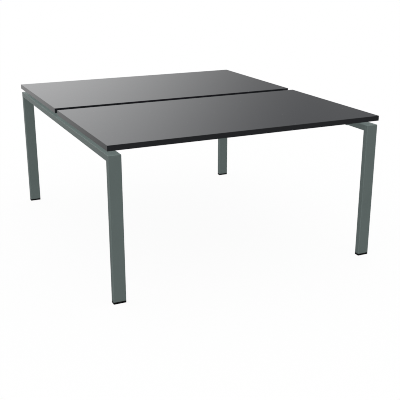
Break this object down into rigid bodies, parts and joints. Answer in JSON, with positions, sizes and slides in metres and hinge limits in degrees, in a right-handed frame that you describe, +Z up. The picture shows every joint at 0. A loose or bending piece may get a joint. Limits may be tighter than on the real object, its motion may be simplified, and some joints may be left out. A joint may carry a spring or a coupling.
{
  "type": "benching desk",
  "caption": "Back-to-back bench desk: dark tops with an open cable gap float on spacers above goal-post end frames of flat grey tube with levelling feet.",
  "frame": {"origin": "on the floor, under the centre of the desk", "axes": "+X along the width towards the right end frame as the front user sits, +Y from the front user to the rear user, +Z up"},
  "size_m": [1.4, 1.65, 0.735],
  "materials": {
    "desk_laminate": "smooth anthracite laminate on chipboard, with a clear sheen at low angles",
    "edge_band": "smooth plastic edge band",
    "frame_paint": "satin grey powder coat",
    "black_plastic": "moulded matt nylon",
    "zinc_steel": "bright zinc plate"
  },
  "bodies": {
    "desk": {"top_front": "desk_laminate", "top_front_band_front": "edge_band", "top_front_band_rear": "edge_band", "top_front_band_left": "edge_band", "top_front_band_right": "edge_band", "top_rear": "desk_laminate", "top_rear_band_front": "edge_band", "top_rear_band_rear": "edge_band", "top_rear_band_left": "edge_band", "top_rear_band_right": "edge_band", "rail_left": "frame_paint", "rail_right": "frame_paint", "leg_front_left": "frame_paint", "leg_insert_front_left": "black_plastic", "foot_nut_front_left": "zinc_steel", "leg_front_right": "frame_paint", "leg_insert_front_right": "black_plastic", "foot_nut_front_right": "zinc_steel", "leg_rear_left": "frame_paint", "leg_insert_rear_left": "black_plastic", "foot_nut_rear_left": "zinc_steel", "leg_rear_right": "frame_paint", "leg_insert_rear_right": "black_plastic", "foot_nut_rear_right": "zinc_steel", "beam_front_outer": "frame_paint", "beam_plate_front_outer_left": "frame_paint", "beam_plate_front_outer_right": "frame_paint", "spacer_front_outer_left": "black_plastic", "spacer_front_outer_middle": "black_plastic", "spacer_front_outer_right": "black_plastic", "beam_front_inner": "frame_paint", "beam_plate_front_inner_left": "frame_paint", "beam_plate_front_inner_right": "frame_paint", "spacer_front_inner_left": "black_plastic", "spacer_front_inner_middle": "black_plastic", "spacer_front_inner_right": "black_plastic", "beam_rear_outer": "frame_paint", "beam_plate_rear_outer_left": "frame_paint", "beam_plate_rear_outer_right": "frame_paint", "spacer_rear_outer_left": "black_plastic", "spacer_rear_outer_middle": "black_plastic", "spacer_rear_outer_right": "black_plastic", "beam_rear_inner": "frame_paint", "beam_plate_rear_inner_left": "frame_paint", "beam_plate_rear_inner_right": "frame_paint", "spacer_rear_inner_left": "black_plastic", "spacer_rear_inner_middle": "black_plastic", "spacer_rear_inner_right": "black_plastic"},
    "foot_front_left": {"foot_pad_front_left": "black_plastic"},
    "stud_front_left": {"foot_stud_front_left": "zinc_steel"},
    "foot_front_right": {"foot_pad_front_right": "black_plastic"},
    "stud_front_right": {"foot_stud_front_right": "zinc_steel"},
    "foot_rear_left": {"foot_pad_rear_left": "black_plastic"},
    "stud_rear_left": {"foot_stud_rear_left": "zinc_steel"},
    "foot_rear_right": {"foot_pad_rear_right": "black_plastic"},
    "stud_rear_right": {"foot_stud_rear_right": "zinc_steel"}
  },
  "joints": [
    {"name": "foot_travel_front_left", "type": "slide", "parent": "desk", "child": "foot_front_left", "axis": [0, 0, -1], "range_m": [0, 0.015]},
    {"name": "stud_turn_front_left", "type": "hinge", "parent": "foot_front_left", "child": "stud_front_left", "pos_m": [-0.667, -0.807, 0.02], "axis": [0, 0, -1], "range_deg": [0, 4320]},
    {"name": "foot_travel_front_right", "type": "slide", "parent": "desk", "child": "foot_front_right", "axis": [0, 0, -1], "range_m": [0, 0.015]},
    {"name": "stud_turn_front_right", "type": "hinge", "parent": "foot_front_right", "child": "stud_front_right", "pos_m": [0.667, -0.807, 0.02], "axis": [0, 0, -1], "range_deg": [0, 4320]},
    {"name": "foot_travel_rear_left", "type": "slide", "parent": "desk", "child": "foot_rear_left", "axis": [0, 0, -1], "range_m": [0, 0.015]},
    {"name": "stud_turn_rear_left", "type": "hinge", "parent": "foot_rear_left", "child": "stud_rear_left", "pos_m": [-0.667, 0.807, 0.02], "axis": [0, 0, -1], "range_deg": [0, 4320]},
    {"name": "foot_travel_rear_right", "type": "slide", "parent": "desk", "child": "foot_rear_right", "axis": [0, 0, -1], "range_m": [0, 0.015]},
    {"name": "stud_turn_rear_right", "type": "hinge", "parent": "foot_rear_right", "child": "stud_rear_right", "pos_m": [0.667, 0.807, 0.02], "axis": [0, 0, -1], "range_deg": [0, 4320]}
  ],
  "couplings": [
    {"joint": "foot_travel_front_left", "follows": "stud_turn_front_left", "m_per_rad": 0.00019894},
    {"joint": "foot_travel_front_right", "follows": "stud_turn_front_right", "m_per_rad": 0.00019894},
    {"joint": "foot_travel_rear_left", "follows": "stud_turn_rear_left", "m_per_rad": 0.00019894},
    {"joint": "foot_travel_rear_right", "follows": "stud_turn_rear_right", "m_per_rad": 0.00019894}
  ]
}
